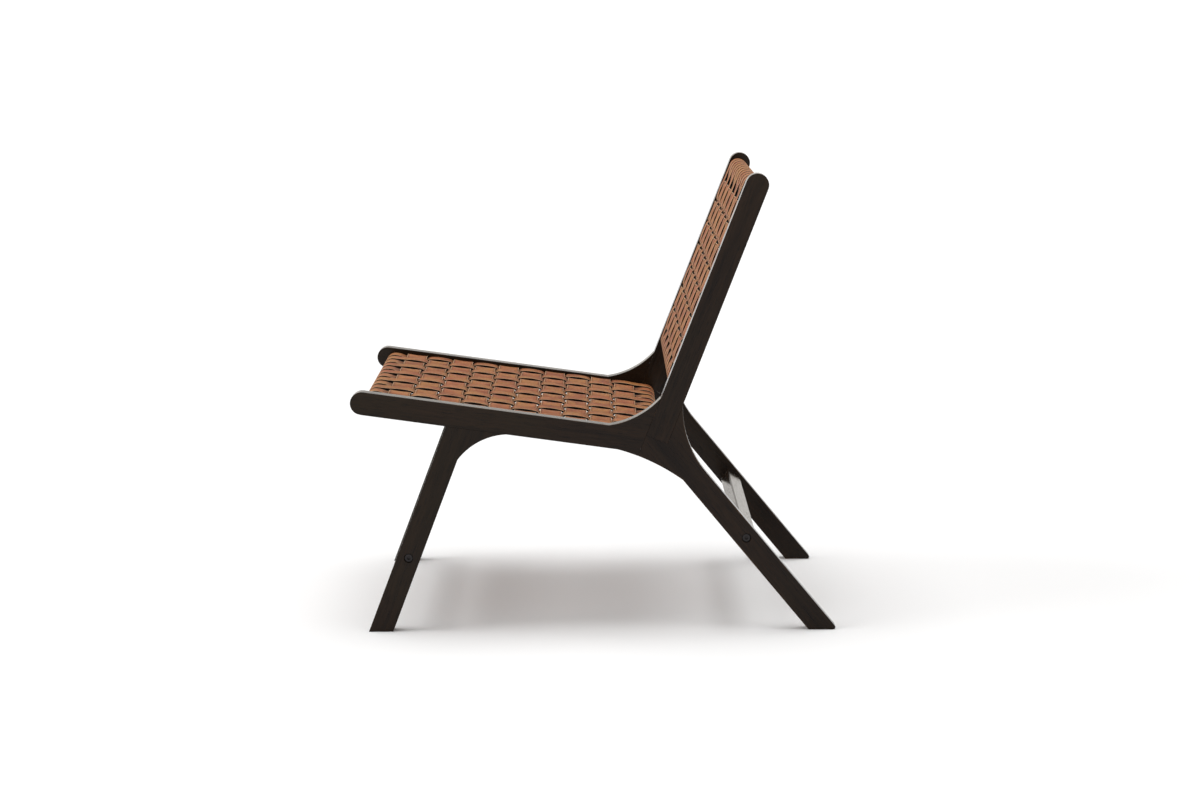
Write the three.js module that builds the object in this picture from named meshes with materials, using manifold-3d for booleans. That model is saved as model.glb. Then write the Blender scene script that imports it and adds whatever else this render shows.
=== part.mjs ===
// A low lounge chair without arms: two dark wood side frames joined by two stretchers, with a seat
// panel and a back panel of woven leather straps hung between them.
// Millimetres. X is the width, the front of the chair faces -Y, Z is up and the floor is Z = 0.
// Left and right are those of a person sitting in the chair, so left is +X.
import * as THREE from "three";
import { mergeVertices } from "three/addons/utils/BufferGeometryUtils.js";
import Module from "manifold-3d";

const wasm = await Module();
wasm.setup();

// The whole chair
const CHAIR_WIDTH = 630;
const GAP = 0.3; // left free between faces that touch on the real chair
const PAST = 1; // how far a cutter runs past the face that it cuts
const ROUND_SIDES = 24; // sides of a round bolt, dowel or hole

// Side frames: four members of one width in each, in the YZ plane
const SIDE_THICKNESS = 27;
const MEMBER_WIDTH = 38;
const RAIL_NOSE = point(-382.5, 384.4); // centre of the rail's round front end
const RAIL_FALL = degrees(8); // the rail falls towards the rear
const UPRIGHT_TOP = point(269.9, 741); // centre of the upright's round top
const UPRIGHT_LEAN = degrees(21.5); // from vertical, leaning back
const FRONT_BOLT = point(-308.3, 124.6);
const FRONT_LEG_LEAN = degrees(20.9); // from vertical, foot forward
const REAR_BOLT = point(252.8, 155.8);
const REAR_LEG_LEAN = degrees(39.5); // from vertical, foot rearward
const UPRIGHT_END_HEIGHT = 322; // where the upright's centreline stops, inside the joint
const HEEL_RADIUS = 3.88; // rounding of the rear foot's back corner

// Curved corners of the side frame: each runs from one member's edge to another's
const BRACKET = { onLeg: 289.5, onRail: -144.5, radius: 107.4 };
const ELBOW = { onRail: 26, onUpright: 391, radius: 142.4 };
const UNDERSIDE = { onRail: 38.6, onLeg: 253.7, radius: 340.4 };
const HEEL_CURVE = { onUpright: 378, onLeg: 266, radius: 169.3 };
const ARC_STEPS = 14;

// Loose tenons that join the members of a side frame
const TENON = { thickness: 10, width: 18, length: 28 };
const TENON_CLEARANCE = 0.4;
const UPRIGHT_TENON_HEIGHT = 350;
const REAR_LEG_TENON_DROP = 2; // keeps this tenon clear of the one above it

// Stretchers between the side frames, and the bolts that hold them
const STRETCHER = { depth: 31, thickness: 22, chamfer: 2 };
const REAR_STRETCHER_FALL = degrees(38); // its wide face looks up and to the rear
const BOLT = { shank: 8, head: 13, headHeight: 8, length: 62, socket: 6, socketDepth: 4 };
const COUNTERBORE = { diameter: 15.5, depth: 11 };
const SHANK_HOLE = 8.8;
const BARREL_NUT = { diameter: 12, length: 16, fromEnd: 26 };
const BARREL_HOLE = { diameter: 12.8, pastNut: 0.4 };

// Seat and back panels: a hidden wooden frame wrapped in leather straps
const LEATHER = 3;
const LEATHER_CLEARANCE = 0.5; // between the straps and the wood that they are drawn tight against
const PANEL_RAIL = { radius: 12, depth: 40 };
const STILE = { width: 30, thickness: 20, top: 9 };
const PANEL_LIP = 25; // how far the straps run back under the end rails
const WEAVE = { top: 16, bottom: 10, ramp: 4, runIn: 6 }; // heights over the panel's middle plane
const SEAT_FRONT = point(-367, 378.93); // centres of the four rails that the straps turn round
const SEAT_REAR = point(95.5, 317.2);
const BACK_BOTTOM = point(139.5, 415);
const BACK_TOP = point(266, 734.5);
const DOWEL = { diameter: 8, length: 36, clearance: 0.4 };
const SCREW = { shank: 5, hole: 5.8, head: 10, headHeight: 3, intoSide: 17 };
const SEAT_SCREWS = [104.1, 359.5]; // from the front rail's centre, each between two cross straps
const BACK_SCREWS = [63.6, 274.5]; // and from the bottom rail's centre

const INNER_WIDTH = CHAIR_WIDTH - 2 * SIDE_THICKNESS;
const INNER_FACE = INNER_WIDTH / 2;
const OUTER_FACE = CHAIR_WIDTH / 2;
const STILE_OUTER_FACE = INNER_FACE - LEATHER - LEATHER_CLEARANCE;
const dowelX = STILE_OUTER_FACE - STILE.width / 2;

const darkWood = material(0x2f2823, 0.45, 0);
const plainWood = material(0x8a6a48, 0.7, 0);
const leather = material(0x8f6447, 0.55, 0);
const blackSteel = material(0x17171a, 0.35, 0.9);

// ---- small helpers ----

function degrees(angle) {
  return THREE.MathUtils.degToRad(angle);
}

function point(y, z) {
  return new THREE.Vector2(y, z);
}

function material(color, roughness, metalness) {
  return new THREE.MeshStandardMaterial({ color, roughness, metalness });
}

function mesh(name, geometry, finish) {
  const made = new THREE.Mesh(geometry, finish);
  made.name = name;
  return made;
}

// A straight line in the YZ plane, moved sideways: a positive shift moves it to the right of its way.
function line(through, way, shift = 0) {
  const right = point(way.y, -way.x);
  return { at: through.clone().addScaledVector(right, shift), way };
}

function meet(a, b) {
  const between = b.at.clone().sub(a.at);
  const along = between.cross(b.way) / a.way.cross(b.way);
  return a.at.clone().addScaledVector(a.way, along);
}

function atHeight(edge, z) {
  return meet(edge, { at: point(0, z), way: point(1, 0) });
}

function atDepth(edge, y) {
  return meet(edge, { at: point(y, 0), way: point(0, 1) });
}

// Points of an arc from one point to another. It bulges to the right of the way there when the radius
// is positive, and to the left when it is negative.
function arc(from, to, radius, steps = ARC_STEPS) {
  const chord = to.clone().sub(from);
  const half = chord.length() / 2;
  const left = point(-chord.y, chord.x).normalize();
  const middle = from.clone().add(to).multiplyScalar(0.5);
  const centre = middle.addScaledVector(left, Math.sign(radius) * Math.sqrt(radius ** 2 - half ** 2));
  const start = from.clone().sub(centre).angle();
  const turn = 2 * Math.asin(half / radius);
  return Array.from({ length: steps + 1 }, (_, i) =>
    point(Math.cos(start + (turn * i) / steps), Math.sin(start + (turn * i) / steps))
      .multiplyScalar(Math.abs(radius))
      .add(centre),
  );
}

// A profile in the YZ plane, extruded along X.
function extrudeAcross(points, fromX, toX) {
  const geometry = new THREE.ExtrudeGeometry(new THREE.Shape(points), {
    depth: toX - fromX,
    bevelEnabled: false,
  });
  const axes = new THREE.Matrix4().makeBasis(
    new THREE.Vector3(0, 1, 0),
    new THREE.Vector3(0, 0, 1),
    new THREE.Vector3(1, 0, 0),
  );
  return geometry.applyMatrix4(axes).translate(fromX, 0, 0);
}

// A cylinder along X, centred on a point of the YZ plane.
function roundAcross(centre, diameter, fromX, toX, sides = ROUND_SIDES) {
  return new THREE.CylinderGeometry(diameter / 2, diameter / 2, toX - fromX, sides)
    .rotateZ(Math.PI / 2)
    .translate((fromX + toX) / 2, centre.x, centre.y);
}

function box(fromX, toX, fromY, toY, fromZ, toZ) {
  return new THREE.BoxGeometry(toX - fromX, toY - fromY, toZ - fromZ).translate(
    (fromX + toX) / 2,
    (fromY + toY) / 2,
    (fromZ + toZ) / 2,
  );
}

function solid(geometry) {
  const bare = geometry.clone();
  bare.deleteAttribute("normal");
  bare.deleteAttribute("uv");
  const merged = mergeVertices(bare, 1e-4);
  return new wasm.Manifold(
    new wasm.Mesh({
      numProp: 3,
      vertProperties: merged.attributes.position.array,
      triVerts: new Uint32Array(merged.index.array),
    }),
  );
}

function geometryOf(made) {
  const { vertProperties, triVerts } = made.getMesh();
  const geometry = new THREE.BufferGeometry();
  geometry.setAttribute("position", new THREE.BufferAttribute(vertProperties, 3));
  geometry.setIndex(new THREE.BufferAttribute(triVerts, 1));
  geometry.computeVertexNormals();
  return geometry;
}

function cut(geometry, ...cutters) {
  return geometryOf(cutters.reduce((rest, cutter) => rest.subtract(solid(cutter)), solid(geometry)));
}

function join(...geometries) {
  return geometryOf(geometries.map(solid).reduce((whole, next) => whole.add(next)));
}

// ---- side frame profile ----

const HALF = MEMBER_WIDTH / 2;
const rearwards = point(Math.cos(RAIL_FALL), -Math.sin(RAIL_FALL));
const upBack = point(Math.sin(UPRIGHT_LEAN), Math.cos(UPRIGHT_LEAN));
const upFrontLeg = point(Math.sin(FRONT_LEG_LEAN), Math.cos(FRONT_LEG_LEAN));
const downRearLeg = point(Math.sin(REAR_LEG_LEAN), -Math.cos(REAR_LEG_LEAN));

const floor = line(point(0, 0), point(1, 0));
const railTop = line(RAIL_NOSE, rearwards, -HALF);
const railBottom = line(RAIL_NOSE, rearwards, HALF);
const uprightFront = line(UPRIGHT_TOP, upBack, -HALF);
const uprightRear = line(UPRIGHT_TOP, upBack, HALF);
const frontLegFront = line(FRONT_BOLT, upFrontLeg, -HALF);
const frontLegRear = line(FRONT_BOLT, upFrontLeg, HALF);
const rearLegRear = line(REAR_BOLT, downRearLeg, -HALF);
const rearLegFront = line(REAR_BOLT, downRearLeg, HALF);

const uprightEnd = atHeight(line(UPRIGHT_TOP, upBack), UPRIGHT_END_HEIGHT);
const acrossUpright = point(upBack.y, -upBack.x);
const undersideArc = arc(
  atDepth(railBottom, UNDERSIDE.onRail),
  atHeight(rearLegFront, UNDERSIDE.onLeg),
  -UNDERSIDE.radius,
  2 * ARC_STEPS,
);

// The underside curve belongs to the rail in front of the joint line, and to the rear leg behind it.
function isAhead(joint, p) {
  return p.clone().sub(joint.at).cross(joint.way) < 0;
}

function undersideMeets(joint) {
  const behind = undersideArc.findIndex((p) => !isAhead(joint, p));
  const [a, b] = [undersideArc[behind - 1], undersideArc[behind]];
  return meet({ at: a, way: b.clone().sub(a) }, joint);
}

// From the underside curve, the front piece's end and the rear piece's start at the joint line.
function undersideParts(joint) {
  const corner = undersideMeets(joint);
  return {
    ahead: [...undersideArc.filter((p) => isAhead(joint, p)), corner],
    behind: [corner, ...undersideArc.filter((p) => !isAhead(joint, p))],
  };
}

function frontLegProfile() {
  const top = line(RAIL_NOSE, rearwards, HALF + GAP);
  const bracket = arc(atHeight(frontLegRear, BRACKET.onLeg), atDepth(top, BRACKET.onRail), -BRACKET.radius);
  return [meet(frontLegFront, floor), meet(frontLegRear, floor), ...bracket, meet(frontLegFront, top)];
}

function seatRailProfile() {
  const end = line(UPRIGHT_TOP, upBack, -HALF - GAP);
  const nose = arc(meet(railTop, noseAcross()), meet(railBottom, noseAcross()), HALF);
  const elbow = arc(atDepth(railTop, ELBOW.onRail), atHeight(end, ELBOW.onUpright), ELBOW.radius);
  return [...nose, ...undersideParts(end).ahead, ...elbow.reverse()];
}

function noseAcross() {
  return line(RAIL_NOSE, point(rearwards.y, -rearwards.x));
}

function uprightProfile() {
  const topAcross = line(UPRIGHT_TOP, acrossUpright);
  const top = arc(meet(uprightRear, topAcross), meet(uprightFront, topAcross), HALF);
  const end = line(uprightEnd, acrossUpright);
  return [meet(uprightFront, end), meet(uprightRear, end), ...top];
}

function rearLegProfile() {
  const railEnd = line(UPRIGHT_TOP, upBack, -HALF);
  const uprightBack = line(UPRIGHT_TOP, upBack, HALF + GAP);
  const uprightFoot = line(uprightEnd.clone().addScaledVector(upBack, -GAP), acrossUpright);
  const heel = meet(rearLegRear, floor);
  const heelReach = HEEL_RADIUS / Math.tan((Math.PI / 2 - REAR_LEG_LEAN) / 2);
  const heelStart = heel.clone().add(point(-heelReach, 0));
  const heelEnd = heel.clone().addScaledVector(downRearLeg, -heelReach);
  const heelRound = arc(heelStart, heelEnd, HEEL_RADIUS, 6);
  const back = arc(
    atHeight(rearLegRear, HEEL_CURVE.onLeg),
    atHeight(uprightBack, HEEL_CURVE.onUpright),
    -HEEL_CURVE.radius,
  );
  return [
    meet(railEnd, uprightFoot),
    ...undersideParts(railEnd).behind,
    meet(rearLegFront, floor),
    ...heelRound,
    ...back,
    meet(uprightBack, uprightFoot),
  ];
}

// ---- side frame pieces: made for the left side, and mirrored for the right ----

// A loose tenon along a way in the YZ plane, grown by a clearance all round for its mortise.
function tenon(centre, along, clearance = 0) {
  const { thickness, width, length } = TENON;
  const middleX = (INNER_FACE + OUTER_FACE) / 2;
  return new THREE.BoxGeometry(thickness + 2 * clearance, width + 2 * clearance, length + 2 * clearance)
    .rotateX(Math.atan2(-along.x, along.y))
    .translate(middleX, centre.x, centre.y);
}

const tenons = {
  front_leg_tenon: [meet(line(FRONT_BOLT, upFrontLeg), railBottom), upFrontLeg],
  upright_tenon: [atHeight(uprightFront, UPRIGHT_TENON_HEIGHT), acrossUpright],
  rear_leg_tenon: [uprightEnd.clone().addScaledVector(upBack, -REAR_LEG_TENON_DROP), upBack],
};

function mortises(...names) {
  return names.map((name) => tenon(...tenons[name], TENON_CLEARANCE));
}

// Hole through a leg for a stretcher bolt, counterbored from the outer face.
function boltHole(centre) {
  return [
    roundAcross(centre, SHANK_HOLE, INNER_FACE - PAST, OUTER_FACE + PAST),
    roundAcross(centre, COUNTERBORE.diameter, OUTER_FACE - COUNTERBORE.depth, OUTER_FACE + PAST, 32),
  ];
}

function bolt(centre) {
  const seat = OUTER_FACE - COUNTERBORE.depth + GAP;
  const headEnd = seat + BOLT.headHeight;
  const whole = join(
    roundAcross(centre, BOLT.head, seat, headEnd),
    roundAcross(centre, BOLT.shank, seat - BOLT.length, seat + PAST),
  );
  const socketCorners = BOLT.socket / Math.cos(Math.PI / 6);
  const socket = roundAcross(centre, socketCorners, headEnd - BOLT.socketDepth, headEnd + PAST, 6);
  return cut(whole, socket);
}

const barrelX = INNER_FACE - BARREL_NUT.fromEnd;

// A cylinder that crosses a stretcher at the barrel nut, square to its wide face.
function crossCylinder(stretcher, x, diameter, from, to) {
  return new THREE.CylinderGeometry(diameter / 2, diameter / 2, to - from, ROUND_SIDES)
    .rotateX(Math.PI / 2)
    .translate(0, 0, (from + to) / 2)
    .rotateX(stretcher.turn)
    .translate(x, stretcher.centre.x, stretcher.centre.y);
}

function barrelNut(stretcher) {
  const half = BARREL_NUT.length / 2;
  const body = crossCylinder(stretcher, barrelX, BARREL_NUT.diameter, -half, half);
  const reach = BARREL_NUT.diameter;
  return cut(body, roundAcross(stretcher.centre, SHANK_HOLE, barrelX - reach, barrelX + reach));
}

function stretcherBar(stretcher) {
  const { depth, thickness, chamfer } = STRETCHER;
  const [y, z] = [depth / 2, thickness / 2];
  const corners = [
    [-y + chamfer, -z],
    [y - chamfer, -z],
    [y, -z + chamfer],
    [y, z - chamfer],
    [y - chamfer, z],
    [-y + chamfer, z],
    [-y, z - chamfer],
    [-y, -z + chamfer],
  ].map(([a, b]) => point(a, b));
  const end = INNER_FACE - GAP;
  const bar = extrudeAcross(corners, -end, end)
    .rotateX(stretcher.turn)
    .translate(0, stretcher.centre.x, stretcher.centre.y);
  const holeStart = OUTER_FACE - COUNTERBORE.depth - BOLT.length - 2 * PAST;
  const holeTop = BARREL_NUT.length / 2 + BARREL_HOLE.pastNut;
  const holes = [
    roundAcross(stretcher.centre, SHANK_HOLE, holeStart, end + PAST),
    roundAcross(stretcher.centre, SHANK_HOLE, -end - PAST, -holeStart),
    crossCylinder(stretcher, barrelX, BARREL_HOLE.diameter, -z - PAST, holeTop),
    crossCylinder(stretcher, -barrelX, BARREL_HOLE.diameter, -z - PAST, holeTop),
  ];
  return cut(bar, ...holes);
}

const stretchers = {
  front: { centre: FRONT_BOLT, turn: Math.PI / 2 - FRONT_LEG_LEAN },
  rear: { centre: REAR_BOLT, turn: -REAR_STRETCHER_FALL },
};

// ---- seat and back panels, drawn flat: Y runs along the panel and Z out of its face ----

const stileMiddle = STILE.top - STILE.thickness / 2;

function panelRailProfile(towards) {
  const { radius, depth } = PANEL_RAIL;
  const nose = arc(point(0, radius), point(0, -radius), radius);
  const profile = [...nose, point(depth - radius, -radius), point(depth - radius, radius)];
  return towards > 0 ? profile : profile.map((p) => point(-p.x, p.y)).reverse();
}

// The woven straps as one plain sheet, with its ends turned round the end rails.
function weaveProfile(length) {
  const outer = PANEL_RAIL.radius + LEATHER;
  const inner = PANEL_RAIL.radius + LEATHER_CLEARANCE;
  const step = PANEL_RAIL.depth - PANEL_RAIL.radius + WEAVE.ramp / 2;
  const nearEnd = [
    point(step + WEAVE.ramp, WEAVE.bottom),
    point(step, inner),
    ...arc(point(0, inner), point(0, -inner), inner),
    point(PANEL_LIP, -inner),
    point(PANEL_LIP, -outer),
    ...arc(point(0, outer), point(0, -outer), outer).reverse(),
    point(WEAVE.runIn, WEAVE.top),
  ];
  const farEnd = nearEnd.map((p) => point(length - p.x, p.y)).reverse();
  return [...nearEnd, ...farEnd].reverse();
}

function cornerDowel(x, y, clearance = 0) {
  const radius = DOWEL.diameter / 2 + clearance;
  const length = DOWEL.length + 2 * clearance;
  return new THREE.CylinderGeometry(radius, radius, length, 16).translate(x, y, stileMiddle);
}

function sideScrew(y) {
  const middle = point(y, stileMiddle);
  const headFace = STILE_OUTER_FACE - STILE.width - GAP;
  return join(
    roundAcross(middle, SCREW.head, headFace - SCREW.headHeight, headFace, 16),
    roundAcross(middle, SCREW.shank, headFace - PAST, INNER_FACE + SCREW.intoSide, 12),
  );
}

function screwHole(y, fromX, toX) {
  return roundAcross(point(y, stileMiddle), SCREW.hole, fromX, toX, 12);
}

function endRail(y, towards) {
  const inner = y + towards * (PANEL_RAIL.depth - PANEL_RAIL.radius);
  const bar = extrudeAcross(panelRailProfile(towards), -STILE_OUTER_FACE, STILE_OUTER_FACE);
  const dowelHoles = [-dowelX, dowelX].map((x) => cornerDowel(x, inner, DOWEL.clearance));
  return cut(bar.translate(0, y, 0), ...dowelHoles);
}

function stile(dowelYs, screws) {
  const bar = box(
    STILE_OUTER_FACE - STILE.width,
    STILE_OUTER_FACE,
    dowelYs[0] + GAP,
    dowelYs[1] - GAP,
    STILE.top - STILE.thickness,
    STILE.top,
  );
  const screwHoles = screws.map((y) => screwHole(y, 0, OUTER_FACE));
  return cut(bar, ...screwHoles, ...dowelYs.map((y) => cornerDowel(dowelX, y, DOWEL.clearance)));
}

// The stile, dowels and screws of one side, made for the left and mirrored for the right.
function panelSide(names, side, sign, dowelYs, screws) {
  const group = new THREE.Group();
  group.scale.x = sign;
  group.add(mesh(`${names.panel}_${side}_stile`, stile(dowelYs, screws), plainWood));
  names.ends.forEach((end, i) => {
    group.add(mesh(`${end}_${side}_dowel`, cornerDowel(dowelX, dowelYs[i]), plainWood));
    group.add(mesh(`${end}_${side}_screw`, sideScrew(screws[i]), blackSteel));
  });
  return group;
}

function panel(names, start, end, screws) {
  const group = new THREE.Group();
  const length = start.distanceTo(end);
  const railReach = PANEL_RAIL.depth - PANEL_RAIL.radius;
  const dowelYs = [railReach, length - railReach];
  const weaveEdge = INNER_FACE - LEATHER_CLEARANCE;
  const weave = extrudeAcross(weaveProfile(length), -weaveEdge, weaveEdge);
  group.add(mesh(`${names.ends[0]}_rail`, endRail(0, 1), plainWood));
  group.add(mesh(`${names.ends[1]}_rail`, endRail(length, -1), plainWood));
  group.add(mesh(`${names.panel}_weave`, weave, leather));
  group.add(panelSide(names, "left", 1, dowelYs, screws), panelSide(names, "right", -1, dowelYs, screws));
  group.position.set(0, start.x, start.y);
  group.rotation.x = end.clone().sub(start).angle();
  return group;
}

const seatNames = { panel: "seat", ends: ["seat_front", "seat_rear"] };
const backNames = { panel: "back", ends: ["back_bottom", "back_top"] };

// Screw holes of a panel, in the chair's own frame, for cutting the side frame members.
function sideHoles(start, end, screws) {
  return screws.map((y) =>
    screwHole(y, INNER_FACE - PAST, INNER_FACE + SCREW.intoSide + PAST)
      .rotateX(end.clone().sub(start).angle())
      .translate(0, start.x, start.y),
  );
}

// ---- the chair ----

function sideFrame(side, sign) {
  const group = new THREE.Group();
  group.scale.x = sign;
  const member = (profile, ...cutters) => cut(extrudeAcross(profile, INNER_FACE, OUTER_FACE), ...cutters);
  const pieces = {
    front_leg: member(frontLegProfile(), ...boltHole(FRONT_BOLT), ...mortises("front_leg_tenon")),
    seat_rail: member(
      seatRailProfile(),
      ...mortises("front_leg_tenon", "upright_tenon"),
      ...sideHoles(SEAT_FRONT, SEAT_REAR, SEAT_SCREWS),
    ),
    back_upright: member(
      uprightProfile(),
      ...mortises("upright_tenon", "rear_leg_tenon"),
      ...sideHoles(BACK_BOTTOM, BACK_TOP, BACK_SCREWS),
    ),
    rear_leg: member(rearLegProfile(), ...boltHole(REAR_BOLT), ...mortises("rear_leg_tenon")),
  };
  for (const [name, geometry] of Object.entries(pieces))
    group.add(mesh(`${side}_${name}`, geometry, darkWood));
  for (const [name, place] of Object.entries(tenons))
    group.add(mesh(`${side}_${name}`, tenon(...place), plainWood));
  for (const [name, stretcher] of Object.entries(stretchers)) {
    group.add(mesh(`${name}_${side}_bolt`, bolt(stretcher.centre), blackSteel));
    group.add(mesh(`${name}_${side}_barrel_nut`, barrelNut(stretcher), blackSteel));
  }
  return group;
}

const chair = new THREE.Group();
chair.add(sideFrame("left", 1), sideFrame("right", -1));
for (const [name, stretcher] of Object.entries(stretchers))
  chair.add(mesh(`${name}_stretcher`, stretcherBar(stretcher), darkWood));
chair.add(panel(seatNames, SEAT_FRONT, SEAT_REAR, SEAT_SCREWS));
chair.add(panel(backNames, BACK_BOTTOM, BACK_TOP, BACK_SCREWS));

export default chair;
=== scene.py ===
import bmesh
import bpy
import math
import random
from mathutils import Matrix, Vector
from mathutils.bvhtree import BVHTree


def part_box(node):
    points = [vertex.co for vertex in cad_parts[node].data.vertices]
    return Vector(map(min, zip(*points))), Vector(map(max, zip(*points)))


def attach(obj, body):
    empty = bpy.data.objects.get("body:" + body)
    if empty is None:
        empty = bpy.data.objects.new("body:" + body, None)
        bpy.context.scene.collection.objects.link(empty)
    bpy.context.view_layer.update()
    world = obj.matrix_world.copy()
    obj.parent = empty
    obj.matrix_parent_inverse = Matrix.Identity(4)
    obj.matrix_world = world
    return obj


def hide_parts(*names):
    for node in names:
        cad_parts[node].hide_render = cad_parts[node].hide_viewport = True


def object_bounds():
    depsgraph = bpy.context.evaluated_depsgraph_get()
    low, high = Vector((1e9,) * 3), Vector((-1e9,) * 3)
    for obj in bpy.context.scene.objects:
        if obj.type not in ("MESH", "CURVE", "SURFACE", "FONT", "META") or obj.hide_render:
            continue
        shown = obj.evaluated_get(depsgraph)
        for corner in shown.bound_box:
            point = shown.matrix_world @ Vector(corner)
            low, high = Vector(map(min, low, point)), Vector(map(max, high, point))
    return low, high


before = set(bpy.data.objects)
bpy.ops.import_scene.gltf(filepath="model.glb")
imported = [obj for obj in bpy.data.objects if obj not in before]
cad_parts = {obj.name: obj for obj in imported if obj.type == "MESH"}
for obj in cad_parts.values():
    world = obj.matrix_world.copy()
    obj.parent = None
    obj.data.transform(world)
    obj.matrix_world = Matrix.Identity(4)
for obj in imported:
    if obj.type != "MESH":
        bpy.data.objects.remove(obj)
cad_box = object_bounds()

# ---- Camera ----
# A long lens at standing height, square on to the chair's left side and tipped down a little,
# so that both side frames line up and the seat shows as a thin sloping band.
bpy.ops.object.select_all(action="DESELECT")
chair_left = cad_box[1].x
bpy.ops.object.camera_add(location=(chair_left + 4.708, 0.011, 1.0595))
camera = bpy.context.object
square_on = Matrix.Rotation(math.radians(90), 3, "Z")
tipped_down = Matrix.Rotation(math.radians(90 - 8.112), 3, "X")
level = Matrix.Rotation(math.radians(-0.2995), 3, "Z")
camera.rotation_euler = (square_on @ tipped_down @ level).to_euler()
camera.data.lens = 86.59
camera.data.sensor_width = 36
bpy.context.scene.camera = camera
bpy.context.scene.view_settings.view_transform = "Standard"


# ---- Floor and studio light ----
# A white paper sweep, lit evenly enough to go white round the chair, with a broad soft box above
# that leaves only a faint pool of shadow between the legs.
class Shade:
    """A socket of a material, so that shader maths is written as Python."""

    def __init__(self, tree, socket=None):
        self.tree = tree
        self.socket = socket

    def node(self, kind, settings=None, inputs=None, output=0):
        made = self.tree.nodes.new("ShaderNode" + kind)
        for name, value in (settings or {}).items():
            if name == "stops":
                self.set_stops(made.color_ramp, value)
            else:
                setattr(made, name, value)
        for name, value in (inputs or {}).items():
            self.feed(made.inputs[name], value)
        return Shade(self.tree, made.outputs[output])

    def set_stops(self, ramp, stops):
        while len(ramp.elements) < len(stops):
            ramp.elements.new(1)
        for element, (place, grey) in zip(ramp.elements, stops):
            element.position = place
            element.color = (grey, grey, grey, 1)

    def feed(self, socket, value):
        if isinstance(value, Shade):
            self.tree.links.new(value.socket, socket)
        else:
            socket.default_value = value

    def maths(self, operation, first, second):
        return self.node("Math", {"operation": operation}, {0: first, 1: second})

    def __add__(self, other):
        return self.maths("ADD", self, other)

    def __sub__(self, other):
        return self.maths("SUBTRACT", self, other)

    def __rsub__(self, other):
        return self.maths("SUBTRACT", other, self)

    def __mul__(self, other):
        return self.maths("MULTIPLY", self, other)

    __radd__ = __add__
    __rmul__ = __mul__

    def ramp(self, *stops):
        return self.node("ValToRGB", {"stops": stops}, {"Fac": self})

    def mix(self, factor, other):
        """This colour, turning into the other as the factor goes from 0 to 1."""
        ends = {0: factor, 6: self, 7: other}
        return self.node("Mix", {"data_type": "RGBA"}, ends, output=2)


def new_material(name):
    material = bpy.data.materials.new(name)
    material.use_nodes = True
    return material, Shade(material.node_tree)


def finish_material(material, shade, inputs):
    shader = material.node_tree.nodes["Principled BSDF"]
    for name, value in inputs.items():
        shade.feed(shader.inputs[name], value)


def colour(red, green, blue):
    """A colour of a paint card, 0 to 255, as the linear light that shaders use."""
    return tuple((value / 255) ** 2.2 for value in (red, green, blue)) + (1,)


bpy.ops.mesh.primitive_plane_add(size=240)
floor = bpy.context.object
floor.name = "floor"
paper, shade = new_material("white_paper")
finish_material(paper, shade, {
    "Base Color": (0.9, 0.9, 0.9, 1),
    "Roughness": 0.9,
    "Specular IOR Level": 0.1,
})
floor.data.materials.append(paper)

world = bpy.data.worlds.new("studio")
bpy.context.scene.world = world
world.use_nodes = True
sky = Shade(world.node_tree)
upward = sky.node("SeparateXYZ", None, {0: sky.node("TexCoord", output="Generated")}, output=2)
glow = upward.ramp((0.0, 1), (0.35, 0))
backdrop = sky.node("Mix", {"data_type": "RGBA"}, {
    0: glow, 6: (0.6, 0.6, 0.6, 1), 7: (1.25, 1.18, 1.08, 1),
}, output=2)
sky.feed(world.node_tree.nodes["Background"].inputs["Color"], backdrop)

bpy.ops.object.light_add(type="SUN", location=(0, 0, 3), rotation=(math.radians(4), math.radians(-6), 0))
overhead = bpy.context.object
overhead.name = "overhead_soft_box"
overhead.data.energy = 1.5
overhead.data.angle = math.radians(50)

bpy.ops.object.light_add(type="SUN", location=(0, -3, 2))
front_fill = bpy.context.object
front_fill.name = "front_soft_box"
front_fill.rotation_euler = Vector((-0.1, 0.8, -0.5)).to_track_quat("-Z", "Y").to_euler()
front_fill.data.energy = 0.9
front_fill.data.angle = math.radians(35)


# ---- Side frames: four members each side ----
# Solid hardwood, 27 mm thick, cut to curved outlines, glued up with hidden tenons, stained nearly
# black and lacquered to a satin. The outlines are eased by a router, but not across the joints.
EASING = 0.0018
RIM_EASING = 0.0006
BOLT_CENTRES = [
    (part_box(f"{end}_left_bolt")[0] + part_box(f"{end}_left_bolt")[1]) / 2 for end in ("front", "rear")
]


def add_object(name, mesh):
    made = bpy.data.objects.new(name, mesh)
    bpy.context.scene.collection.objects.link(made)
    make_active(made)
    return made


def make_active(piece):
    bpy.ops.object.select_all(action="DESELECT")
    piece.select_set(True)
    bpy.context.view_layer.objects.active = piece


def clean_copy(node, name):
    """A copy of a CAD node with its loose triangles merged into whole faces."""
    piece = add_object(name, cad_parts[node].data.copy())
    piece.data.materials.clear()
    bpy.ops.object.mode_set(mode="EDIT")
    bpy.ops.mesh.select_all(action="SELECT")
    bpy.ops.mesh.remove_doubles(threshold=0.00001)
    bpy.ops.mesh.dissolve_limited(angle_limit=math.radians(0.3))
    bpy.ops.mesh.select_all(action="DESELECT")
    bpy.ops.mesh.select_mode(type="EDGE")
    bpy.ops.object.mode_set(mode="OBJECT")
    return piece


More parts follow.
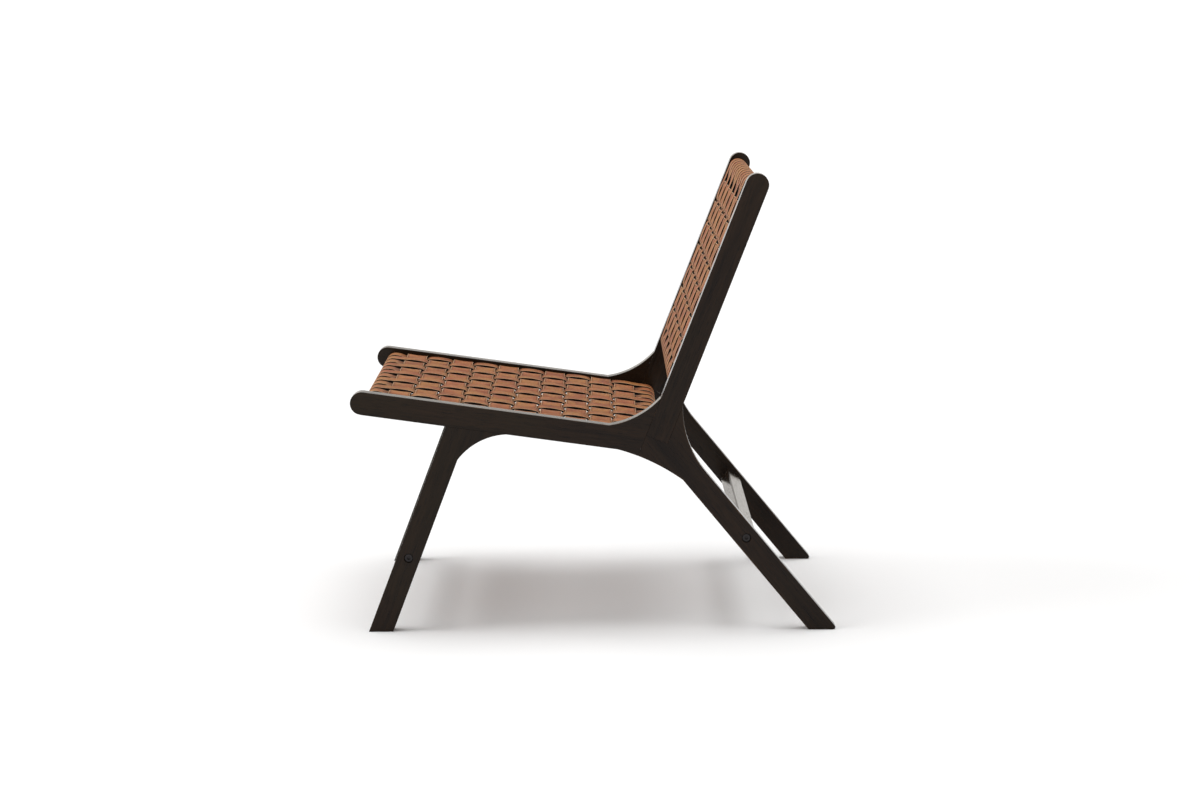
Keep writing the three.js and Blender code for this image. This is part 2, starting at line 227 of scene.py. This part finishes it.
def ease(piece, wanted, width, segments):
    """Rounds the edges of a piece that are wanted, and marks the new faces as eased."""
    make_active(piece)
    bpy.ops.object.mode_set(mode="EDIT")
    mesh = bmesh.from_edit_mesh(piece.data)
    if not mesh.faces.layers.float.get("eased"):
        mesh.faces.layers.float.new("eased")
    for edge in mesh.edges:
        edge.select_set(wanted(edge))
    bmesh.update_edit_mesh(piece.data)
    bpy.ops.mesh.bevel(offset=width, segments=segments, profile=0.5, clamp_overlap=True)
    mesh = bmesh.from_edit_mesh(piece.data)
    eased = mesh.faces.layers.float["eased"]
    for face in mesh.faces:
        if face.select:
            face[eased] = 1
    bmesh.update_edit_mesh(piece.data)
    bpy.ops.mesh.select_all(action="DESELECT")
    bpy.ops.object.mode_set(mode="OBJECT")


def smooth(piece, angle=35):
    make_active(piece)
    bpy.ops.object.shade_smooth_by_angle(angle=math.radians(angle))
    bpy.ops.object.modifier_add(type="WEIGHTED_NORMAL")
    piece.modifiers[-1].keep_sharp = True
    bpy.ops.object.modifier_apply(modifier=piece.modifiers[-1].name)


def middle(edge):
    return (edge.verts[0].co + edge.verts[1].co) / 2


def is_sharp(edge):
    return len(edge.link_faces) == 2 and edge.calc_face_angle(0) > math.radians(50)


def near_bolt(place, reach):
    return any(math.hypot(place.y - c.y, place.z - c.z) < reach for c in BOLT_CENTRES)


def stained_wood(name, grain_angle=None):
    """Dark stained wood. The grain runs at an angle in the side plane, or across the chair."""
    material, shade = new_material(name)
    place = shade.node("TexCoord", output="Object")
    turn = (0, 0, math.radians(90)) if grain_angle is None else (-grain_angle, 0, 0)
    along = shade.node("Mapping", None, {"Vector": place, "Rotation": turn})

    def stretched(across, length):
        scale = (across, length, across)
        return along.node("VectorMath", {"operation": "MULTIPLY"}, {0: along, 1: scale})

    figure = shade.node("TexNoise", None, {
        "Vector": stretched(26, 2.2), "Scale": 1.0, "Detail": 5.0, "Roughness": 0.6, "Distortion": 0.6,
    })
    streaks = shade.node("TexNoise", None, {
        "Vector": stretched(160, 5), "Scale": 1.0, "Detail": 3.0, "Roughness": 0.7,
    })
    pores = shade.node("TexNoise", None, {
        "Vector": stretched(900, 45), "Scale": 1.0, "Detail": 2.0, "Roughness": 0.5,
    }).ramp((0.34, 1), (0.44, 0))
    patches = shade.node("TexNoise", None, {"Vector": place, "Scale": 5.0, "Detail": 2.0})
    rubbed = shade.node("Attribute", {"attribute_name": "eased"}, output="Fac")
    wear = rubbed * shade.node("TexNoise", None, {"Vector": place, "Scale": 22.0}).ramp((0.5, 0), (0.7, 1))
    tone = figure.ramp((0.32, 0), (0.68, 1)) * 0.6 + streaks.ramp((0.3, 0), (0.7, 1)) * 0.4
    base = shade.node("Mix", {"data_type": "RGBA"}, {
        0: tone, 6: colour(20, 15, 13), 7: colour(46, 34, 25),
    }, output=2)
    base = base.mix(patches.ramp((0.4, 0), (0.7, 0.5)), colour(40, 33, 23))
    base = base.mix(pores * 0.7, colour(12, 10, 9))
    base = base.mix(wear * 0.35, colour(104, 82, 62))
    height = tone * 0.25 - pores * 0.6
    finish_material(material, shade, {
        "Base Color": base,
        "Roughness": 0.12 + streaks * 0.08 + pores * 0.12,
        "Normal": shade.node("Bump", None, {"Height": height, "Strength": 0.12, "Distance": 0.0003}),
        "Specular IOR Level": 0.14,
    })
    return material


MEMBERS = {
    "front_leg": math.radians(90 - 20.9),
    "seat_rail": math.radians(-8),
    "back_upright": math.radians(90 - 21.5),
    "rear_leg": math.radians(39.5 - 90),
}
member_woods = {name: stained_wood(f"stained_{name}", angle) for name, angle in MEMBERS.items()}


def surface_of(node):
    """The faces of a CAD node, to find where another member touches it."""
    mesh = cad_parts[node].data
    places = [vert.co for vert in mesh.vertices]
    faces = [face.vertices for face in mesh.polygons]
    return BVHTree.FromPolygons(places, faces)


for side in ("left", "right"):
    surfaces = {member: surface_of(f"{side}_{member}") for member in MEMBERS}
    for member in MEMBERS:
        node = f"{side}_{member}"
        others = [surface for name, surface in surfaces.items() if name != member]
        low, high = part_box(node)

        def at_joint(place):
            return min(other.find_nearest(place)[3] for other in others) < 0.0008

        def on_side_face(edge):
            ends = [vert.co.x for vert in edge.verts]
            return any(max(abs(x - face) for x in ends) < 0.0001 for face in (low.x, high.x))

        def on_outline(edge):
            return (
                on_side_face(edge)
                and is_sharp(edge)
                and not near_bolt(middle(edge), 0.01)
                and not at_joint(middle(edge))
            )

        def on_bolt_hole(edge):
            return on_side_face(edge) and is_sharp(edge) and near_bolt(middle(edge), 0.0085)

        piece = clean_copy(node, f"{node}_wood")
        ease(piece, on_bolt_hole, RIM_EASING, 2)
        ease(piece, on_outline, EASING, 3)
        smooth(piece)
        piece.data.materials.append(member_woods[member])
        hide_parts(node)
        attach(piece, "root")


# ---- Stretchers ----
# Two rectangular bars of the same wood that hold the side frames apart, one between the front legs
# and one between the rear legs, each drawn up tight by a bolt at either end.
stretcher_wood = stained_wood("stained_stretcher")
for node in ("front_stretcher", "rear_stretcher"):
    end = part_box(node)[1].x - 0.0005

    def is_long(edge):
        return (edge.verts[0].co - edge.verts[1].co).length > 0.3

    def along_bar(edge):
        return is_long(edge) and abs(middle(edge).x) < end

    piece = clean_copy(node, f"{node}_wood")
    ease(piece, along_bar, 0.001, 2)
    smooth(piece, 50)
    piece.data.materials.append(stretcher_wood)
    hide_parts(node)
    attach(piece, "root")


# ---- Bolts, barrel nuts and screws ----
# Black oxide steel. Socket head bolts sit deep in the legs and pull into barrel nuts inside the
# stretchers; countersunk screws hold the seat and back frames to the side frames.
def black_steel():
    material, shade = new_material("black_steel")
    place = shade.node("TexCoord", output="Object")
    cloud = shade.node("TexNoise", None, {"Vector": place, "Scale": 300.0, "Detail": 4.0})
    base = shade.node("Mix", {"data_type": "RGBA"}, {
        0: cloud, 6: (0.012, 0.012, 0.014, 1), 7: (0.05, 0.045, 0.045, 1),
    }, output=2)
    finish_material(material, shade, {
        "Base Color": base,
        "Metallic": 0.9,
        "Roughness": 0.3 + cloud * 0.25,
        "Normal": shade.node("Bump", None, {"Height": cloud, "Strength": 0.1, "Distance": 0.0001}),
    })
    return material


def dress(node, material):
    """Gives a CAD node its one material."""
    node.data.materials.clear()
    node.data.materials.append(material)


steel = black_steel()
for end in ("front", "rear"):
    for side in ("left", "right"):
        node = f"{end}_{side}_bolt"
        piece = clean_copy(node, f"{node}_steel")
        ease(piece, is_sharp, 0.0004, 2)
        smooth(piece)
        piece.data.materials.append(steel)
        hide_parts(node)
        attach(piece, "root")

for name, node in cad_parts.items():
    if name.endswith(("_screw", "_barrel_nut")):
        dress(node, steel)


# ---- Seat and back frames ----
# Bars of dark-stained beech, left unlacquered because the straps hide them: two round-nosed end
# rails, two stiles and a dowel at each corner. The tenons of the side frames are bare beech.
def beech(name, dark, light):
    material, shade = new_material(name)
    place = shade.node("TexCoord", output="Object")
    flecks = shade.node("TexNoise", None, {
        "Vector": place.node("VectorMath", {"operation": "MULTIPLY"}, {0: place, 1: (40, 400, 400)}),
        "Scale": 1.0, "Detail": 3.0,
    })
    cloud = shade.node("TexNoise", None, {"Vector": place, "Scale": 12.0, "Detail": 3.0})
    base = shade.node("Mix", {"data_type": "RGBA"}, {0: cloud, 6: dark, 7: light}, output=2)
    finish_material(material, shade, {
        "Base Color": base.mix(flecks.ramp((0.3, 0.5), (0.45, 0)), dark),
        "Roughness": 0.65 + flecks * 0.2,
        "Normal": shade.node("Bump", None, {"Height": flecks, "Strength": 0.2, "Distance": 0.0003}),
        "Specular IOR Level": 0.15,
    })
    return material


stained_beech = beech("stained_beech", colour(22, 14, 10), colour(40, 27, 19))
bare_beech = beech("bare_beech", colour(150, 108, 72), colour(196, 158, 116))
for name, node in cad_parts.items():
    if name.endswith(("_stile", "_rail")) and "seat_rail" not in name:
        dress(node, stained_beech)
    if name.endswith(("_tenon", "_dowel")):
        dress(node, bare_beech)


# ---- Leather straps ----
# Saddle leather cut into straps 33 to 36 mm wide and 3.3 mm thick, with dark painted edges, woven
# over and under. The long straps turn round the end rails and the cross straps round the stiles;
# all are tacked to the underside of the hidden frame.
LONG_WIDTH = 0.0332
CROSS_WIDTH = 0.0360
STRAP_THICKNESS = 0.0033
CROWN = 0.0008
ARCH = 0.0012
STEP = 0.0035
WEAVE_HEIGHT = 0.0125
EDGE_ROUNDING = 0.0006
RISE = STRAP_THICKNESS / 2 + 0.00008
RAIL_RADIUS = 0.012
TURN_RADIUS = RAIL_RADIUS + STRAP_THICKNESS / 2 + 0.0002
TURN_STEPS = 12
BEND_INSIDE = 0.0005
OFF_RAIL = 0.004
TAIL = 0.022
LONG_PITCH = 0.0481
LONG_STRAPS = [(i - 5.5) * LONG_PITCH for i in range(12)]
random.seed(7)


def arched(place, crossings, overs, half_width):
    """How much a strap bulges up at a place along it, where it passes over another."""
    for crossing, over in zip(crossings, overs):
        if over and abs(place - crossing) < half_width:
            return ARCH * (1 - ((place - crossing) / half_width) ** 2)
    return 0


def eased_between(stops, place):
    """A height that goes smoothly from stop to stop, each a place and its height."""
    for (a, low), (b, high) in zip(stops, stops[1:]):
        if a <= place <= b:
            return low + (high - low) * (1 - math.cos(math.pi * (place - a) / (b - a))) / 2
    return stops[-1][1]


def woven_height(place, crossings, overs, length):
    """Height of a long strap's middle line, going over or under at each cross strap."""
    flat = CROSS_WIDTH / 2 - BEND_INSIDE
    heights = [WEAVE_HEIGHT + (RISE if over else -RISE) for over in overs]
    stops = [(OFF_RAIL, TURN_RADIUS)]
    for crossing, height in zip(crossings, heights):
        stops += [(crossing - flat, height), (crossing + flat, height)]
    stops.append((length - OFF_RAIL, TURN_RADIUS))
    if place < stops[0][0] or place > stops[-1][0]:
        return TURN_RADIUS
    return eased_between(stops, place) + arched(place, crossings, overs, flat)


def turn(centre_y, start, stop, radius):
    """The points of a strap's turn round a rail."""
    angles = (start + (stop - start) * i / TURN_STEPS for i in range(TURN_STEPS + 1))
    return [(centre_y + radius * math.cos(a), radius * math.sin(a)) for a in angles]


def long_strap_path(length, crossings, overs):
    """From under the first rail, round it, along the weave, and round the second rail."""
    steps = round(length / STEP)
    along = [length * i / steps for i in range(1, steps)]
    weave = [(y, woven_height(y, crossings, overs, length)) for y in along]
    first = turn(0, math.radians(270), math.radians(90), TURN_RADIUS)
    second = turn(length, math.radians(90), math.radians(-90), TURN_RADIUS)
    return [(TAIL, -TURN_RADIUS), *first, *weave, *second, (length - TAIL, -TURN_RADIUS)]


def ribbon(name, width, steps, across, direction):
    """A thin strap extruded edge by edge along a path, then given its thickness and round edges."""
    bpy.ops.object.select_all(action="DESELECT")
    bpy.ops.mesh.primitive_grid_add(x_subdivisions=4, y_subdivisions=1, size=1)
    piece = bpy.context.object
    piece.name = name
    start, second = Vector(direction(*steps[0])), Vector(direction(*steps[1]))
    side = Vector(across)
    normal = side.cross(second - start).normalized()
    for vert in piece.data.vertices:
        row, column = vert.co.y > 0, vert.co.x
        lift = CROWN * (1 - (2 * column) ** 2)
        vert.co = (second if row else start) + side * column * width + normal * lift
        vert.select = row
    for edge in piece.data.edges:
        edge.select = all(piece.data.vertices[i].select for i in edge.vertices)
    for face in piece.data.polygons:
        face.select = False
    bpy.ops.object.mode_set(mode="EDIT")
    bpy.ops.mesh.select_mode(type="EDGE")
    for a, b in zip(steps[1:], steps[2:]):
        move = Vector(direction(*b)) - Vector(direction(*a))
        bpy.ops.mesh.extrude_region_move(TRANSFORM_OT_translate={"value": move})
    bpy.ops.mesh.select_all(action="SELECT")
    bpy.ops.mesh.normals_make_consistent(inside=False)
    bpy.ops.mesh.select_all(action="DESELECT")
    bpy.ops.object.mode_set(mode="OBJECT")
    bpy.ops.object.modifier_add(type="SOLIDIFY")
    piece.modifiers[-1].thickness = STRAP_THICKNESS
    piece.modifiers[-1].offset = 0
    piece.modifiers[-1].use_even_offset = True
    bpy.ops.object.modifier_apply(modifier=piece.modifiers[-1].name)
    bpy.ops.object.modifier_add(type="BEVEL")
    piece.modifiers[-1].width = EDGE_ROUNDING
    piece.modifiers[-1].segments = 3
    piece.modifiers[-1].limit_method = "ANGLE"
    piece.modifiers[-1].angle_limit = math.radians(60)
    bpy.ops.object.modifier_apply(modifier=piece.modifiers[-1].name)
    bpy.ops.object.shade_smooth()
    return piece


def saddle_leather():
    material, shade = new_material("saddle_leather")
    place = shade.node("TexCoord", output="Object")
    across = shade.node("Attribute", {"attribute_name": "across"}, output="Fac")
    tone = shade.node("Attribute", {"attribute_name": "tone"}, output="Fac")
    facing = shade.node("Attribute", {"attribute_name": "facing"}, output="Fac")
    height = shade.node("Attribute", {"attribute_name": "raised"}, output="Fac")
    raised = height.ramp((0.15, 0.25), (0.85, 1))
    patches = shade.node("TexNoise", None, {"Vector": place, "Scale": 30.0, "Detail": 3.0})
    flush = shade.node("TexNoise", None, {
        "Vector": place, "Scale": 26.0, "Detail": 1.0, "Distortion": 0.5,
    })
    fibres = shade.node("TexNoise", None, {
        "Vector": place, "Scale": 260.0, "Detail": 4.0, "Roughness": 0.65,
    })
    grain = shade.node("TexVoronoi", {"feature": "DISTANCE_TO_EDGE"}, {"Vector": place, "Scale": 1100.0})
    creases = grain.ramp((0.0, 0), (0.18, 1))
    base = shade.node("Mix", {"data_type": "RGBA"}, {
        0: patches.ramp((0.35, 0), (0.65, 1)), 6: colour(132, 76, 46), 7: colour(174, 113, 70),
    }, output=2)
    base = base.mix(tone * 0.6, colour(162, 90, 58))
    base = base.mix(flush.ramp((0.45, 0), (0.62, 0.75)), colour(166, 114, 64))
    base = base.mix(fibres.ramp((0.4, 0.35), (0.6, 0)), colour(76, 36, 18))
    # Painted shade: the low parts of each strap, where it dips under another strap, are darkened towards
    # deep brown.
    base = base.mix((1 - raised) * 0.5, colour(54, 22, 8))
    outward = across * across
    burnished = outward.ramp((0.6, 0), (0.88, 0.8))
    cut_edge = outward.ramp((0.91, 0), (0.95, 1))
    # Painted highlight: a cream band on each strap's rounded shoulder, where its surface turns up and away
    # from the core.
    painted_shoulder_highlight = outward.ramp((0.87, 0), (0.94, 1)) * facing.ramp((0.5, 0), (0.75, 1))
    base = base.mix(burnished, colour(70, 30, 12))
    base = base.mix(cut_edge, colour(14, 4, 1))
    base = base.mix(painted_shoulder_highlight * 0.8, colour(244, 196, 150))
    finish_material(material, shade, {
        "Base Color": base,
        "Roughness": 0.5 + fibres * 0.2 + cut_edge * 0.15,
        "Normal": shade.node("Bump", None, {
            "Height": creases * 0.5 + fibres * 0.8 + patches * 0.6, "Strength": 0.35, "Distance": 0.0003,
        }),
        "Specular IOR Level": 0.2,
    })
    return material


leather = saddle_leather()


def place_strap(pattern, name, node, shift, panel_matrix, across, is_woven, core):
    """A copy of a woven strap, moved to its place in the panel and the panel to its place."""
    piece = add_object(name, pattern.data.copy())
    under_top = WEAVE_HEIGHT - RISE + STRAP_THICKNESS / 2
    verts = piece.data.vertices
    places = [vert.co.copy() for vert in verts]
    strap_tone = random.random()
    values = {
        "across": [across(place) for place in places],
        # How high each point sits in the weave, used to paint shade on the low parts of the strap.
        "raised": [(place.z - under_top) / (2 * RISE) if is_woven(place) else 1 for place in places],
        "tone": [strap_tone] * len(places),
        # How far each point's surface turns away from the strap's core, which places the painted highlight
        # on the shoulders.
        "facing": [vert.normal.dot((vert.co - core(vert.co)).normalized()) for vert in verts],
    }
    for label, numbers in values.items():
        piece.data.attributes.new(label, "FLOAT", "POINT")
        piece.data.attributes[label].data.foreach_set("value", numbers)
    piece.matrix_world = panel_matrix @ Matrix.Translation(shift)
    bpy.ops.object.transform_apply(location=True, rotation=True, scale=True)
    piece.data.materials.append(leather)
    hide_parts(node)
    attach(piece, "root")
    return piece


STILE_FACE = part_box("seat_left_stile")[1].x
STILE_MIDDLE = 0.275
STILE_BOTTOM = -0.011
STILE_GAP = 0.0003
STILE_TAIL = 0.024
BEND_RADIUS = 0.0028


def cross_strap_path(overs):
    """From under one stile, up its outer face, across the weave, and down round the other."""
    out = STILE_FACE + STRAP_THICKNESS / 2 + STILE_GAP
    under = STILE_BOTTOM - STRAP_THICKNESS / 2 - STILE_GAP
    tail = STILE_FACE - STILE_TAIL
    bend = BEND_RADIUS
    flat = LONG_WIDTH / 2 - BEND_INSIDE
    heights = [WEAVE_HEIGHT + (RISE if over else -RISE) for over in overs]

    def bent(x, z, start, stop):
        angles = (math.radians(start + (stop - start) * i / 4) for i in range(5))
        return [(x + bend * math.cos(a), z + bend * math.sin(a)) for a in angles]

    right_end = [
        (-tail, under),
        *bent(-out + bend, under + bend, 270, 180),
        *bent(-out + bend, heights[0] - bend, 180, 90),
    ]
    left_end = [
        *bent(out - bend, heights[-1] - bend, 90, 0),
        *bent(out - bend, under + bend, 0, -90),
        (tail, under),
    ]
    stops = []
    for crossing, height in zip(LONG_STRAPS, heights):
        stops += [(crossing - flat, height), (crossing + flat, height)]
    weave = []
    for (a, low), (b, high) in zip(stops, stops[1:]):
        steps = max(3, round((b - a) / STEP))
        for i in range(steps):
            place = a + (b - a) * i / steps
            weave.append((place, eased_between(stops, place) + arched(place, LONG_STRAPS, overs, flat)))
    return [*right_end, *weave, stops[-1], *left_end]


PANELS = {
    "seat": {
        "start": Vector((0, -0.367, 0.37893)),
        "end": Vector((0, 0.0955, 0.3172)),
        "first": 0.0402,
        "pitch": 0.04257,
        "count": 10,
        "odd": 1,
    },
    "back": {
        "start": Vector((0, 0.1395, 0.415)),
        "end": Vector((0, 0.266, 0.7345)),
        "first": 0.0425,
        "pitch": 0.04217,
        "count": 7,
        "odd": 0,
    },
}

for panel, facts in PANELS.items():
    start, end = facts["start"], facts["end"]
    length = (end - start).length
    lean = math.atan2(end.z - start.z, end.y - start.y)
    panel_matrix = Matrix.Translation(start) @ Matrix.Rotation(lean, 4, "X")
    crossings = [facts["first"] + facts["pitch"] * k for k in range(facts["count"])]
    node = f"{panel}_weave"
    for phase in (0, 1):
        overs = [(k + phase + facts["odd"]) % 2 == 0 for k in range(facts["count"])]
        path = long_strap_path(length, crossings, overs)
        pattern = ribbon("pattern", LONG_WIDTH, path, (1, 0, 0), lambda y, z: (0, y, z))
        for i in range(phase, len(LONG_STRAPS), 2):
            shift = Vector((LONG_STRAPS[i] + random.uniform(-0.0006, 0.0006), 0, 0))
            name = f"{panel}_long_strap_{i + 1:02}"
            place_strap(
                pattern, name, node, shift, panel_matrix,
                across=lambda co: co.x / LONG_WIDTH * 2,
                is_woven=lambda co: 0.01 < co.y < length - 0.01,
                core=lambda co: Vector((co.x, min(max(co.y, 0), length), 0)),
            )
        bpy.data.objects.remove(pattern)
    for phase in (0, 1):
        overs = [(i + phase + facts["odd"]) % 2 == 1 for i in range(len(LONG_STRAPS))]
        path = cross_strap_path(overs)
        pattern = ribbon("pattern", CROSS_WIDTH, path, (0, -1, 0), lambda x, z: (x, 0, z))
        for k in range(phase, facts["count"], 2):
            shift = Vector((0, crossings[k] + random.uniform(-0.0005, 0.0005), 0))
            name = f"{panel}_cross_strap_{k + 1:02}"
            place_strap(
                pattern, name, node, shift, panel_matrix,
                across=lambda co: co.y / CROSS_WIDTH * 2,
                is_woven=lambda co: abs(co.x) < LONG_STRAPS[-1],
                core=lambda co: Vector((min(max(co.x, -STILE_MIDDLE), STILE_MIDDLE), co.y, 0)),
            )
        bpy.data.objects.remove(pattern)
